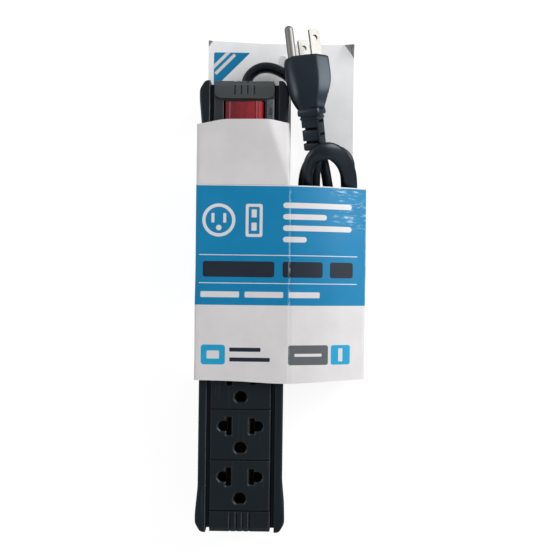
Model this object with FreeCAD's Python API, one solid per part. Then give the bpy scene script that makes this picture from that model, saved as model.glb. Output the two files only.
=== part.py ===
"""Six-outlet power strip with a rocker switch, its folded flat cord and moulded plug, in a card sleeve.

Frame: millimetres, +Z up. The strip lies on its back along Y with the switch and the cord at +Y,
X to the right. Z = 0 is the plane that the card rests on, and the origin is under the strip's centre.
"""

import FreeCAD, Part
import math
import os

V = FreeCAD.Vector
X_AXIS, Y_AXIS, Z_AXIS = V(1, 0, 0), V(0, 1, 0), V(0, 0, 1)

# ---------------------------------------------------------------- driving dimensions
# card sleeve
card = 0.5  # thickness of the sleeve's card
card_x0, card_x1 = -26.1, 65.0
card_top = 152.0
wrap_top, wrap_join, wrap_bottom = 102.5, 66.4, -40.2
fold_drop = 18.0  # how far the right-hand panel falls to its outer edge
fold_edge_x = 68.8
hang_hole_r = 3.5
hang_hole_x, hang_hole_y = 20.9, 140.6
header_x0, header_x1 = -22.1, 63.4  # the card's narrower upper part
flap = 9.0  # glue flap under the hank
side_gap = 0.5  # sleeve to bumpers
slide_gap = 0.1  # strip above the backing card
soft_gap = 0.4  # between the cord's solids and the card

# strip housing
strip_length = 247.6
strip_half = 23.15
bumper_half = 24.55
bumper_length = 25.0
bumper_flat = 5.0
end_half = 21.6  # where the rounded corner meets the end
strip_height = 34.0
floor = 2.5
wall = 2.2
end_wall = 2.5
rail = 4.4
channel = 2.2
channel_depth = 4.5
ledge = 2.0
rail_round = 1.0
corner_round = 6.0
flare_round = 40.0
notch = 1.9  # the channel's open ends
fit_gap = 0.15  # panels to ledges and to each other

# outlet modules
outlets = 6
pitch = 27.8
plate = 2.2
skirt = 1.5
skirt_depth = 6.0
end_block = 11.8
blade_from_top = 9.2  # blade slots' centre below a module's upper edge
blade_half_spacing = 6.35
earth_offset = 11.9
round_pin_half_spacing = 9.5
round_pin_r = 2.65
blade_slot = 2.6
neutral_slot_height = 9.6
live_slot_height = 8.2
earth_r = 3.2
earth_flat = 2.5
lead_in = 0.7
post_x = 12.3
post_r = 2.5

# busbars
bar_width = 5.0
bar = 0.8
bar_height = 15.0  # underside of the bars above the housing's inner floor
leaf = 0.6
blade_gap = 1.5
earth_gap = 4.8
leaf_rise = 9.0
barrel_r = 1.7
barrel_length = 6.0

# screws
screw_r = 1.45
screw_head_r = 2.6
screw_head = 2.0
screw_clearance = 0.15
boss_wall = 1.3
boss_height = 11.0
screw_bite = 7.0
rib_half = 0.8
pillar_half = 1.2  # under the switch body

# switch
rocker_half_x = 9.4
rocker_half_y = 7.3
rocker_top_edge = 11.7  # from the strip's end to the rocker
rocker_gap = 0.35
rocker_v = 7.0  # slope of each half of the rocker's top, degrees
rocker_proud = 0.3
pivot_depth = 4.2  # pivot below the panel's top
pivot_r = 1.5
pivot_clearance = 0.05
switch_wall = 1.4
switch_depth = 18.0
stem_r = 3.0
plunger_r = 1.6
plunger_clearance = 0.06
plunger_reach = 10.5
plunger_shank = 5.2
stem_reach = 7.5
rocker_web = 1.8  # above the plunger's bore
lamp_rise = 10.5
resistor_rise = 3.6
bimetal_rise = 7.0
arm_half = 8.0
arm_width = 5.0
arm = 0.7
arm_tilt = 5.0  # either side of level, degrees
terminal_x = 7.6
terminal = 0.8
terminal_width = 4.8
terminal_clear = 3.3  # terminals' lower ends above the floor
lamp_r = 1.9
lamp_length = 8.0
resistor_r = 1.0
resistor_x = 7.5
spring_r = 1.2
spring_wire_r = 0.22

# hood and end cap
hood = 10.1
hood_half = 16.3
hood_proud = 1.1
hood_round = 4.0
hood_wrap = 3.3  # thickness of the part that turns down over the end
groove = 0.9
groove_pitch = 3.5
grooves = 4

# cord and plug
cord_r = 3.6  # a round section with the flat cord's area
cord_wide, cord_thick = 9.5, 5.7
cord_z = 9.6
wire_r = 1.2
sheath_inside = 9.1  # length of sheath inside the housing
clamp_screw_x = 7.0
clamp_screw_grip = 7.0
clamp_half_width = 2.0
clamp_bar = 2.5
clamp_pad = 2.6  # beyond each clamp screw
hank_x0, hank_x1 = 30.2, 63.4
hank_y0, hank_y1 = -36.0, 89.8
hank_top = 19.4
hank_end_top = 23.4
prong_spacing = 12.7
prong_width, prong_thick, prong_length = 6.35, 1.5, 17.3
prong_hole_r, prong_hole_from_tip = 1.6, 5.4
root = 7.0  # pins inside the head
ground_r, ground_length = 2.4, 20.6
ground_shank_r = 2.0
shank_gap = 0.3  # full thickness starts just above the plug's face
ground_offset = 11.9
plug_origin = V(36.6, 135.6, 26.0)
plug_way = V(-0.12, 0.952, -0.28)
plug_across = V(0.452, 0.298, 0.841)
head_length = 29.0
face_size = (11.4, -7.4, 15.8)  # half width, blade side and earth side of the head's outline
waist_size = (12.2, -7.8, 14.2)
back_size = (6.8, -3.4, 9.4)
relief_end = V(39.3, 86.9, 30.6)
relief_half_a, relief_half_b = 6.4, 6.0
relief_slots = 4
relief_shift = 3.6

# keyholes
keyhole_y = 69.5
keyhole_r = 4.2
keyhole_slot_r = 2.1
keyhole_travel = 7.0

# ---------------------------------------------------------------- worked out from the sizes
base_z = card + slide_gap
top_z = base_z + strip_height
inner_z = base_z + floor
panel_under = top_z - plate
half_length = strip_length / 2
panel_half = strip_half - rail - channel
channel_z = top_z - channel_depth
rail_inner = strip_half - rail
outlet_y0 = -half_length + end_block
outlet_y1 = outlet_y0 + outlets * pitch
bar_z = inner_z + bar_height
boss_z = inner_z + boss_height
rocker_y = half_length - rocker_top_edge - rocker_half_y
pivot_z = top_z - pivot_depth
switch_floor = panel_under - switch_depth
wrap_z = top_z + rocker_proud + rocker_half_x * math.tan(math.radians(2 * rocker_v)) + side_gap + card
wrap_half = bumper_half + side_gap + card
rocker_mid_z = top_z + rocker_proud
rocker_tip_z = rocker_mid_z + rocker_half_x * math.tan(math.radians(rocker_v))
window_x = math.hypot(rocker_half_x, rocker_tip_z - pivot_z) + rocker_gap
window_y = rocker_half_y + rocker_gap
arm_z = pivot_z - plunger_reach - arm - 0.35
fixed_contact_z = arm_z - 0.6 - arm_half * math.sin(math.radians(arm_tilt)) - 0.1
lamp_y = rocker_y - rocker_half_y + 2.2
lamp_z = switch_floor + lamp_rise
resistor_z = switch_floor + resistor_rise
blank_run = rocker_y - outlet_y1  # from the outlets to the rocker
panel_post_y = (outlet_y1 + 0.13 * blank_run, outlet_y1 + 0.5 * blank_run)
drop_z = channel_z - ledge - wall + 0.15
gland_half_x = cord_thick / 2 + 1.6
gland_half_z = cord_wide / 2 + 1.6
clamp_y = half_length - end_wall - 2 - 2.4
sheath_end = half_length - sheath_inside
clamp_z = cord_z + cord_wide / 2

NODES = {}


def add(name, shape):
    NODES[name] = shape


# ---------------------------------------------------------------- helpers
def box(x0, x1, y0, y1, z0, z1):
    return Part.makeBox(x1 - x0, y1 - y0, z1 - z0, V(x0, y0, z0))


def cyl(r, start, way, length):
    return Part.makeCylinder(r, length, start, way)


def prism(points, way):
    """A closed polygon swept straight along a vector."""
    return Part.Face(Part.makePolygon(points + [points[0]])).extrude(way)


def rounded_prism(corners, way):
    """A closed outline of (point, corner radius) pairs swept straight along a vector."""
    edges, ends = [], []
    count = len(corners)
    for i, (b, radius) in enumerate(corners):
        u = (b - corners[i - 1][0]).normalize()
        w = (corners[(i + 1) % count][0] - b).normalize()
        turn = u.getAngle(w)
        back = radius * math.tan(turn / 2)
        middle = b + (w - u).normalize() * radius * (1 / math.cos(turn / 2) - 1)
        ends.append((b - u * back, middle, b + w * back))
    for i, (start, middle, end) in enumerate(ends):
        edges.append(Part.Arc(start, middle, end).toShape())
        edges.append(Part.LineSegment(end, ends[(i + 1) % count][0]).toShape())
    return Part.Face(Part.Wire(edges)).extrude(way)


def fused(shapes):
    whole = shapes[0].fuse(shapes[1:]) if len(shapes) > 1 else shapes[0]
    return whole.removeSplitter()


def edges_where(shape, test):
    return [e for e in shape.Edges if test(e)]


def upright(e):
    a, b = e.Vertexes[0].Point, e.Vertexes[-1].Point
    return abs(a.x - b.x) < 1e-6 and abs(a.y - b.y) < 1e-6 and abs(a.z - b.z) > 1e-3


def flat_at(z):
    return lambda e: abs(e.BoundBox.ZMin - z) < 1e-6 and abs(e.BoundBox.ZMax - z) < 1e-6


def tube(points, r, name):
    """A round tube along straight runs joined by tangent arcs, each as large as its runs allow."""
    edges, here, bends = [], points[0], []
    for a, b, c in zip(points, points[1:], points[2:]):
        u, w = (b - a).normalize(), (c - b).normalize()
        turn = u.getAngle(w)
        back = 0.45 * min((b - a).Length, (c - b).Length)
        bends.append(back / math.tan(turn / 2))
        start, end = b - u * back, b + w * back
        middle = b + (w - u).normalize() * bends[-1] * (1 / math.cos(turn / 2) - 1)
        edges.append(Part.LineSegment(here, start).toShape())
        edges.append(Part.Arc(start, middle, end).toShape())
        here = end
    edges.append(Part.LineSegment(here, points[-1]).toShape())
    path = Part.Wire(edges)
    ring = Part.Wire(Part.Circle(points[0], (points[1] - points[0]), r).toShape())
    solid = path.makePipeShell([ring], True, False)
    print(name, "length", round(path.Length, 1), "radii", [round(x, 1) for x in bends])
    return solid


# ---------------------------------------------------------------- housing
def base_shell():
    flare_start, flare_end = half_length - bumper_length, half_length - bumper_flat
    outline = []
    for sx, sy in ((1, 1), (-1, 1), (-1, -1), (1, -1)):
        side = [
            (V(sx * strip_half, sy * flare_start, base_z), flare_round),
            (V(sx * bumper_half, sy * (flare_end - bumper_flat), base_z), flare_round),
            (V(sx * bumper_half, sy * flare_end, base_z), corner_round),
            (V(sx * end_half, sy * half_length, base_z), corner_round / 2),
        ]
        outline += side if sx * sy > 0 else side[::-1]
    shell = rounded_prism(outline, V(0, 0, strip_height))
    shell = shell.makeFillet(rail_round, edges_where(shell, flat_at(top_z)))
    inner = strip_half - wall
    inner_end = half_length - end_wall
    cap_half = panel_half + fit_gap
    cuts = [
        box(-inner, inner, -inner_end, inner_end, inner_z, channel_z - ledge),
        box(-cap_half, cap_half, -inner_end, inner_end, inner_z, top_z + 1),
        box(-rail_inner, rail_inner, -half_length - 1, half_length + 1, channel_z, top_z + 1),
        box(-cap_half, cap_half, -half_length - 1, half_length + 1, channel_z - ledge - wall, top_z + 1),
    ]
    for sx in (-1, 1):
        x0, x1 = sorted((sx * cap_half, sx * rail_inner))
        for sy in (-1, 1):
            y0, y1 = sorted((sy * (half_length - notch), sy * (half_length + 1)))
            cuts.append(box(x0, x1, y0, y1, base_z - 1, top_z + 1))
    shell = shell.cut(cuts)
    # bosses, ribs and posts stand on the floor
    stands = [cyl(screw_r + screw_clearance + boss_wall, V(x, y, base_z), Z_AXIS, boss_z - base_z)
              for x, y in screw_places()]
    for i in range(outlets + 1):
        y = outlet_y0 + i * pitch
        reach = blade_half_spacing + bar_width / 2
        stands.append(box(-reach, reach, y - rib_half, y + rib_half, inner_z - 0.5, bar_z))
    for sx in (-1, 1):
        for sy in (-1, 1):
            x, y = sx * (rocker_half_x + 1.6), rocker_y + sy * rocker_half_y
            stands.append(box(x - pillar_half, x + pillar_half, y - pillar_half, y + pillar_half,
                              inner_z - 0.5, switch_floor))
        x = sx * clamp_screw_x
        stands.append(box(x - clamp_pad, x + clamp_pad, clamp_y - clamp_half_width,
                          clamp_y + clamp_half_width, inner_z - 0.5, clamp_z))
    shell = fused([shell] + stands)
    holes = []
    for x, y in screw_places():
        holes.append(cyl(screw_r + screw_clearance, V(x, y, base_z - 1), Z_AXIS, boss_z - base_z + 2))
        holes.append(cyl(screw_head_r + screw_clearance, V(x, y, base_z - 1), Z_AXIS, screw_head + 1.3))
    for sx in (-1, 1):
        foot = V(sx * clamp_screw_x, clamp_y, clamp_z - clamp_screw_grip)
        holes.append(cyl(screw_r, foot, Z_AXIS, clamp_screw_grip + 1))
    for sy in (-1, 1):
        y = sy * keyhole_y
        holes.append(cyl(keyhole_r, V(0, y, base_z - 1), Z_AXIS, floor + 1.5))
        holes.append(cyl(keyhole_slot_r, V(0, y + keyhole_travel, base_z - 1), Z_AXIS, floor + 1.5))
        holes.append(box(-keyhole_slot_r, keyhole_slot_r, y, y + keyhole_travel, base_z - 1, inner_z + 0.5))
    holes.append(box(-gland_half_x, gland_half_x, half_length - end_wall - 1, half_length + 1,
                     cord_z - gland_half_z, cord_z + gland_half_z))
    return shell.cut(holes).removeSplitter()


def outlet_centre(i):
    """Y of a module's blade slots, counted from the cord's end."""
    return outlet_y1 - i * pitch - blade_from_top


def screw_places():
    """Two posts beside each earth hole, and four under the switch panel."""
    places = [(sx * post_x, outlet_centre(i) - earth_offset) for i in range(outlets) for sx in (-1, 1)]
    return places + [(sx * post_x, y) for y in panel_post_y for sx in (-1, 1)]


def pin_hole(side, slot_height, z0, z1):
    """A blade slot with a round lobe outward of it, side -1 neutral, +1 live, centred on Y = 0."""
    blade = box(-blade_slot / 2, blade_slot / 2, -slot_height / 2, slot_height / 2, z0, z1)
    blade.translate(V(side * blade_half_spacing, 0, 0))
    lobe = cyl(round_pin_r, V(side * round_pin_half_spacing, 0, z0), Z_AXIS, z1 - z0)
    x0, x1 = sorted((side * blade_half_spacing, side * round_pin_half_spacing))
    return fused([blade, lobe, box(x0, x1, -round_pin_r, round_pin_r, z0, z1)])


def earth_hole(z0, z1):
    whole = cyl(earth_r, V(0, -earth_offset, z0), Z_AXIS, z1 - z0)
    return whole.cut(box(-9, 9, -earth_offset - 9, -earth_offset - earth_flat, z0 - 1, z1 + 1))


def cover(y0, y1):
    """A panel with a skirt down each side, seated between the channels."""
    top = box(-panel_half, panel_half, y0, y1, panel_under, top_z)
    top = top.makeChamfer(0.35, edges_where(top, flat_at(top_z)))
    sides = [box(sx * panel_half - (skirt if sx > 0 else 0), sx * panel_half + (0 if sx > 0 else skirt),
                 y0, y1, top_z - skirt_depth - plate, panel_under + 0.1) for sx in (-1, 1)]
    return [top] + sides


def posts(places):
    return [cyl(post_r, V(x, y, boss_z), Z_AXIS, panel_under + 0.1 - boss_z) for x, y in places]


def pilots(places):
    return [cyl(screw_r, V(x, y, boss_z - 1), Z_AXIS, screw_bite + 1) for x, y in places]


def outlet_face(i):
    centre = outlet_centre(i)
    y1 = centre + blade_from_top
    places = [(sx * post_x, centre - earth_offset) for sx in (-1, 1)]
    module = fused(cover(y1 - pitch + fit_gap, y1) + posts(places))
    z0, z1 = panel_under - 1, top_z + 1
    slots = [pin_hole(-1, neutral_slot_height, z0, z1), pin_hole(1, live_slot_height, z0, z1)]
    holes = slots + [earth_hole(z0, z1)]
    for hole in holes:
        hole.translate(V(0, centre, 0))
    module = module.cut(holes + pilots(places)).removeSplitter()
    rims = edges_where(module, lambda e: flat_at(top_z)(e) and abs(e.CenterOfMass.x) < panel_half - 1
                       and abs(e.CenterOfMass.y - y1) > 1 and abs(e.CenterOfMass.y - y1 + pitch) > 1)
    return module.makeChamfer(lead_in, rims)


def switch_panel():
    y0, y1 = outlet_y1 + fit_gap, half_length - hood_wrap - fit_gap
    places = [(sx * post_x, y) for y in panel_post_y for sx in (-1, 1)]
    panel = fused(cover(y0, y1) + posts(places))
    window = box(-window_x, window_x, rocker_y - window_y, rocker_y + window_y, panel_under - 1, top_z + 1)
    return panel.cut([window] + pilots(places)).removeSplitter()


def hood_shape(length, proud, half, drop_to):
    """An end cover: a plate whose outer end turns down over the housing's end, with grooves across it."""
    y1 = half_length
    y0 = y1 - length
    plate_z = top_z if proud else panel_under
    block = box(-half, half, y0, y1, drop_to, top_z + proud)
    block = block.makeFillet(hood_round, edges_where(block, lambda e: abs(e.BoundBox.YMin - y1) < 1e-6
                             and flat_at(top_z + proud)(e)))
    if proud:
        corners = edges_where(block, lambda e: upright(e) and e.BoundBox.YMax < y0 + 1e-3)
        block = block.makeFillet(hood_round, corners)
    block = block.cut(box(-half - 1, half + 1, y0 - 1, y1 - hood_wrap, drop_to - 1, plate_z))
    cuts = []
    for i in range(grooves):
        x = (i - (grooves - 1) / 2) * groove_pitch
        start, stop = (y1 - 8.0, y1 - 3.0) if proud else (y0 + 0.6, y1 + 1)
        cuts.append(box(x - groove / 2, x + groove / 2, start, stop, top_z + proud - 0.8, top_z + 9))
        cuts.append(box(x - groove / 2, x + groove / 2, y1 - 1.4, y1 + 1, drop_to + 4, top_z + 9))
    return block.cut(cuts).removeSplitter()


def cord_hood():
    return hood_shape(hood, hood_proud, hood_half, drop_z)


def end_cap():
    y_in = half_length - end_block + fit_gap
    cap = hood_shape(half_length - y_in, 0, panel_half, drop_z)
    cap.rotate(V(0, 0, 0), Z_AXIS, 180)
    return cap


# ---------------------------------------------------------------- busbars
def busbar(x, centres, gap, leaf_half):
    """A flat bar with two spring leaves under each outlet and a crimp barrel at the cord's end."""
    y0, y1 = outlet_y0 + 1.5, outlet_y1 + 1.4
    pieces = [box(x - bar_width / 2, x + bar_width / 2, y0, y1, bar_z, bar_z + bar)]
    for y in centres:
        for sx in (-1, 1):
            a, b = sorted((x + sx * gap / 2, x + sx * (gap / 2 + leaf)))
            pieces.append(box(a, b, y - leaf_half, y + leaf_half, bar_z + bar / 2, bar_z + bar + leaf_rise))
    pieces.append(cyl(barrel_r, V(x, y1 - 0.4, bar_z + bar / 2), Y_AXIS, barrel_length))
    return fused(pieces)


def earth_bus():
    """The earth bar carries a wider clip; its leaves stand on ears of the bar."""
    centres = [outlet_centre(i) - earth_offset for i in range(outlets)]
    reach = earth_gap / 2 + leaf
    ears = [box(-reach, reach, y - 3, y + 3, bar_z, bar_z + bar) for y in centres]
    return fused([busbar(0, centres, earth_gap, 3.0)] + ears)


# ---------------------------------------------------------------- fasteners
def screw(x, y, seat_z, way, length):
    head = cyl(screw_head_r, V(x, y, seat_z), way * -1, screw_head)
    arm_a = box(-1.6, 1.6, -0.35, 0.35, -0.8, 0.8)
    cross = fused([arm_a, box(-0.35, 0.35, -1.6, 1.6, -0.8, 0.8)])
    cross.translate(V(x, y, seat_z - way.z * screw_head))
    shank = cyl(screw_r - screw_clearance / 2, V(x, y, seat_z), way, length)
    return head.fuse(shank).cut(cross).removeSplitter()


def housing_screws():
    seat = base_z + screw_head + 0.3
    length = boss_z + screw_bite - 1 - seat
    return Part.makeCompound([screw(x, y, seat, Z_AXIS, length) for x, y in screw_places()])


# ---------------------------------------------------------------- switch
def switch_body():
    x1, y1 = window_x + switch_wall, rocker_half_y + 0.5 + switch_wall
    body = box(-x1, x1, rocker_y - y1, rocker_y + y1, switch_floor, panel_under)
    room = box(-window_x, window_x, rocker_y - y1 + switch_wall, rocker_y + y1 - switch_wall,
               switch_floor + switch_wall, panel_under + 1)
    bore = cyl(pivot_r + pivot_clearance, V(0, rocker_y - y1 - 1, pivot_z), Y_AXIS, 2 * y1 + 2)
    half = terminal_width / 2
    slots = [box(x - terminal / 2, x + terminal / 2, rocker_y - half, rocker_y + half,
                 switch_floor - 1, switch_floor + 3) for x in (-terminal_x, 0, terminal_x)]
    body = body.cut([room, bore] + slots)
    cradle = box(-lamp_length / 2, lamp_length / 2, lamp_y - 0.6, lamp_y + 0.6,
                 switch_floor + switch_wall / 2, lamp_z - lamp_r + 0.02)
    cradle = cradle.cut(cyl(lamp_r + 0.01, V(-lamp_length, lamp_y, lamp_z), X_AXIS, 2 * lamp_length))
    resistor_bed = box(resistor_x - 0.5, resistor_x + 0.5, lamp_y - 1, lamp_y + 1,
                       switch_floor + switch_wall / 2, resistor_z - resistor_r + 0.02)
    return fused([body, cradle, resistor_bed])


def rocker_tilted(shape):
    """Turns a piece drawn with the rocker level to its rest position, right end up."""
    shape.rotate(V(0, rocker_y, pivot_z), Y_AXIS, -rocker_v)
    return shape


def rocker():
    ends = math.hypot(rocker_half_x, rocker_tip_z - pivot_z)
    drum = cyl(ends, V(0, rocker_y - rocker_half_y, pivot_z), Y_AXIS, 2 * rocker_half_y)
    rise = rocker_half_x * 1.4 * math.tan(math.radians(rocker_v))
    y0 = rocker_y - rocker_half_y
    low = pivot_z - 2.2
    wide = rocker_half_x * 1.4
    roof = prism([V(-wide, y0, low), V(wide, y0, low), V(wide, y0, rocker_mid_z + rise),
                  V(0, y0, rocker_mid_z), V(-wide, y0, rocker_mid_z + rise)], V(0, 2 * rocker_half_y, 0))
    body = drum.common(roof)
    hollow = (rocker_half_x - 5.0) / 2
    for sx in (-1, 1):
        x = sx * (hollow + 3.0)
        body = body.cut(box(x - hollow, x + hollow, rocker_y - rocker_half_y + 1.6,
                            rocker_y + rocker_half_y - 1.6, low - 1, pivot_z + 0.6))
    axle_reach = rocker_half_y + 0.5 + switch_wall - 0.2
    axle = cyl(pivot_r, V(0, rocker_y - axle_reach, pivot_z), Y_AXIS, 2 * axle_reach)
    stem = cyl(stem_r, V(0, rocker_y, pivot_z - stem_reach), Z_AXIS, stem_reach)
    body = fused([body, axle, stem])
    foot = V(0, rocker_y, pivot_z - stem_reach - 1)
    bore = cyl(plunger_r + plunger_clearance, foot, Z_AXIS, stem_reach + 1 - rocker_web)
    body = body.cut(bore)
    return rocker_tilted(body)


def plunger():
    tip_z = pivot_z - plunger_reach
    stem = cyl(plunger_r, V(0, rocker_y, tip_z + plunger_r), Z_AXIS, plunger_shank)
    ball = Part.makeSphere(plunger_r, V(0, rocker_y, tip_z + plunger_r))
    nub = cyl(plunger_r - 0.75, V(0, rocker_y, tip_z + plunger_r + plunger_shank - 0.1), Z_AXIS, 1.0)
    return rocker_tilted(fused([stem, ball, nub]))


def plunger_spring():
    z0 = pivot_z - plunger_reach + plunger_r + plunger_shank + spring_wire_r
    z1 = pivot_z - rocker_web - spring_wire_r
    helix = Part.makeHelix((z1 - z0) / 4, z1 - z0, spring_r)
    ring = Part.Wire(Part.Circle(V(spring_r, 0, 0), Y_AXIS, spring_wire_r).toShape())
    coil = Part.Wire(helix.Edges).makePipeShell([ring], True, True)
    coil.translate(V(0, rocker_y, z0))
    return rocker_tilted(coil)


def contact_arm():
    """A see-saw bridge on the middle terminal; at rest its right end is down."""
    z = arm_z
    y0, y1 = rocker_y - arm_width / 2, rocker_y + arm_width / 2
    plate_ = box(-arm_half, arm_half, y0, y1, z, z + arm)
    beads = [cyl(1.2, V(sx * (arm_half - 1.4), rocker_y, z - 0.6), Z_AXIS, 0.7) for sx in (-1, 1)]
    saddle = [box(sx * 0.9 - 0.3, sx * 0.9 + 0.3, y0, y1, z - 0.6, z + 0.1) for sx in (-1, 1)]
    shape = fused([plate_] + beads + saddle)
    shape.rotate(V(0, rocker_y, z), Y_AXIS, arm_tilt)
    return shape


def switch_terminals():
    low = inner_z + terminal_clear
    blades = []
    for x in (-terminal_x, 0, terminal_x):
        top = arm_z - 0.05 if x == 0 else fixed_contact_z
        y0, y1 = rocker_y - terminal_width / 2, rocker_y + terminal_width / 2
        blade = box(x - terminal / 2, x + terminal / 2, y0, y1, low, top)
        if x:
            blade = fused([blade, box(x - 1.6, x + 1.6, rocker_y - 2, rocker_y + 2, top - 0.8, top)])
        blades.append(blade)
    return Part.makeCompound(blades)


def bimetal_blade():
    y = rocker_y + rocker_half_y - 0.9
    z = switch_floor + bimetal_rise
    strip = box(-window_x, 5, y - 0.3, y + 0.3, z, z + 4)
    foot = box(-window_x, -window_x + 0.6, y - 2.5, y + 0.3, z, z + 4)
    return fused([strip, foot])


# ---------------------------------------------------------------- cord inlet
def cord_gland():
    body = box(-gland_half_x + 0.05, gland_half_x - 0.05, half_length - end_wall - 2, half_length,
               cord_z - gland_half_z + 0.05, cord_z + gland_half_z - 0.05)
    flange = box(-gland_half_x - 1.5, gland_half_x + 1.5, half_length - end_wall - 2, half_length - end_wall,
                 inner_z, cord_z + gland_half_z + 1.5)
    hole = oval_bar(half_length - end_wall - 3, half_length + 1, 0)
    return fused([body, flange]).cut(hole).removeSplitter()


def oval_bar(y0, y1, gap):
    """The flat cord's section, standing on its edge, along Y."""
    r = cord_thick / 2 + gap
    up = (cord_wide - cord_thick) / 2
    ends = [cyl(r, V(0, y0, cord_z + s * up), Y_AXIS, y1 - y0) for s in (-1, 1)]
    return fused(ends + [box(-r, r, y0, y1, cord_z - up, cord_z + up)])


def cord_clamp():
    reach = clamp_screw_x + clamp_pad
    bar_ = box(-reach, reach, clamp_y - clamp_half_width, clamp_y + clamp_half_width,
               clamp_z, clamp_z + clamp_bar)
    return bar_.cut([cyl(screw_r + screw_clearance, V(sx * clamp_screw_x, clamp_y, clamp_z - 1), Z_AXIS, 5)
                     for sx in (-1, 1)])


# ---------------------------------------------------------------- plug
def plug_frame():
    d = V(plug_way).normalize()
    e1 = V(plug_across) - d * V(plug_across).dot(d)
    e1.normalize()
    return e1, e1.cross(d) * (1 if e1.cross(d).x < 0 else -1), d


def at(u, v, w):
    """A point of the plug: u across the blades, v towards the earth pin, w out along the pins."""
    e1, e2, d = plug_frame()
    return plug_origin + e1 * u + e2 * v + d * w


def oriented(shape):
    """Moves a piece drawn in the plug's own axes (x across, y to the earth pin, z along the pins)."""
    e1, e2, d = plug_frame()
    m = FreeCAD.Matrix(e1.x, e2.x, d.x, plug_origin.x, e1.y, e2.y, d.y, plug_origin.y,
                       e1.z, e2.z, d.z, plug_origin.z, 0, 0, 0, 1)
    out = shape.copy()
    out.transformShape(m, True)
    return out


def head_section(w, half, low, nose):
    """The head's shield-shaped outline, w behind its face; the nose is round the earth pin."""
    shoulder = low + 0.48 * (nose - low)
    pts = [V(half, low, -w), V(half, shoulder, -w), V(half * 0.42, nose, -w), V(-half * 0.42, nose, -w),
           V(-half, shoulder, -w), V(-half, low, -w)]
    return Part.makePolygon(pts + [pts[0]])


def plug_body():
    """Head and slotted strain relief, moulded in one."""
    face = head_section(0, *face_size)
    waist = head_section(head_length / 2, *waist_size)
    back = head_section(head_length, *back_size)
    head = fused([Part.makeLoft([face, waist], True, True), Part.makeLoft([waist, back], True, True)])
    head = head.makeFillet(1.0, edges_where(head, flat_at(0)))
    return fused([oriented(head)] + relief_blocks())


def relief_frame():
    start = at(0, relief_shift, -head_length)
    way = (relief_end - start)
    return start, way


def relief_blocks():
    """A rectangular relief from the head's back, cut half through from alternate sides."""
    start, way = relief_frame()
    length = way.Length
    e1, e2, d = plug_frame()
    w = V(way).normalize()
    side = e1 - w * e1.dot(w)
    side.normalize()
    up = w.cross(side)
    place = FreeCAD.Matrix(side.x, up.x, w.x, start.x, side.y, up.y, w.y, start.y,
                           side.z, up.z, w.z, start.z, 0, 0, 0, 1)
    a, b = relief_half_a, relief_half_b
    body = box(-a, a, -b, b, -2.0, length)
    body = body.makeFillet(1.2, edges_where(body, upright))
    collar = box(-a - 0.9, a + 0.9, -b - 0.9, b + 0.9, 0.0, 3.6)
    collar = collar.makeFillet(1.5, edges_where(collar, upright))
    whole = fused([body, collar])
    cuts = []
    for i in range(relief_slots):
        z = 5.6 + i * 3.6
        s = 1 if i % 2 else -1
        x0, x1 = sorted((s * 2.4, s * (a + 1)))
        cuts.append(box(x0, x1, -b - 1, b + 1, z, z + 1.4))
    whole = whole.cut(cuts)
    whole.transformShape(place, True)
    return [whole]


def flat_blade(sx):
    x = sx * prong_spacing / 2
    t, h = prong_thick / 2, prong_width / 2
    b = 1.0
    side = prism([V(x - t, -h, -root), V(x - t, h, -root), V(x - t, h, prong_length - b),
                  V(x - t, h - b, prong_length), V(x - t, -h + b, prong_length),
                  V(x - t, -h, prong_length - b)], V(2 * t, 0, 0))
    hole = cyl(prong_hole_r, V(x - 2, 0, prong_length - prong_hole_from_tip), X_AXIS, 4)
    return oriented(side.cut(hole))


def ground_pin():
    shank = cyl(ground_shank_r, V(0, ground_offset, -root), Z_AXIS, root + 1)
    pin = cyl(ground_r, V(0, ground_offset, shank_gap), Z_AXIS, ground_length - ground_r - shank_gap)
    tip = Part.makeSphere(ground_r, V(0, ground_offset, ground_length - ground_r))
    return oriented(fused([shank, pin, tip]))


def prong_bridge():
    bar = box(-8.5, 8.5, -4.5, 4.5, -5.5, -2.5)
    stem = box(-3.6, 3.6, 4.0, ground_offset + 2.9, -5.5, -2.5)
    return oriented(fused([bar, stem]))


# ---------------------------------------------------------------- sleeve
def backing_card():
    sheet = fused([box(card_x0, card_x1, wrap_bottom, wrap_join, 0, card),
                   box(card_x0, header_x1, wrap_join - 1, wrap_top, 0, card),
                   box(header_x0, header_x1, wrap_top - 1, card_top, 0, card)])
    # die-cut window behind the plug and the fold of the cord
    z, x0, join, top = -1, wrap_half + 0.2, wrap_join + 0.5, wrap_top + 0.5
    window = prism([V(x0, join, z), V(59.9, join, z), V(59.9, 84.0, z), V(55.0, 89.3, z),
                    V(39.1, 89.3, z), V(39.1, 106.0, z), V(33.5, 114.0, z), V(29.5, 119.0, z),
                    V(bumper_half + 0.3, 119.0, z), V(bumper_half + 0.3, top, z), V(x0, top, z)], V(0, 0, 3))
    return sheet.cut(window).cut(cyl(hang_hole_r, V(hang_hole_x, hang_hole_y, -1), Z_AXIS, 3))


def wrap(outline, y0, y1):
    """A card wall of one thickness along an outline in XZ, inner side first."""
    return prism([V(x, y0, z) for x, z in outline], V(0, y1 - y0, 0))


def upper_wrap():
    o, i = wrap_half, wrap_half - card
    z = wrap_z
    outer = [(-o, card), (-o, z), (o, z), (o, card)]
    inner = [(i, card), (i, z - card), (-i, z - card), (-i, card)]
    return wrap(outer + inner, wrap_join, wrap_top)


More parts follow.
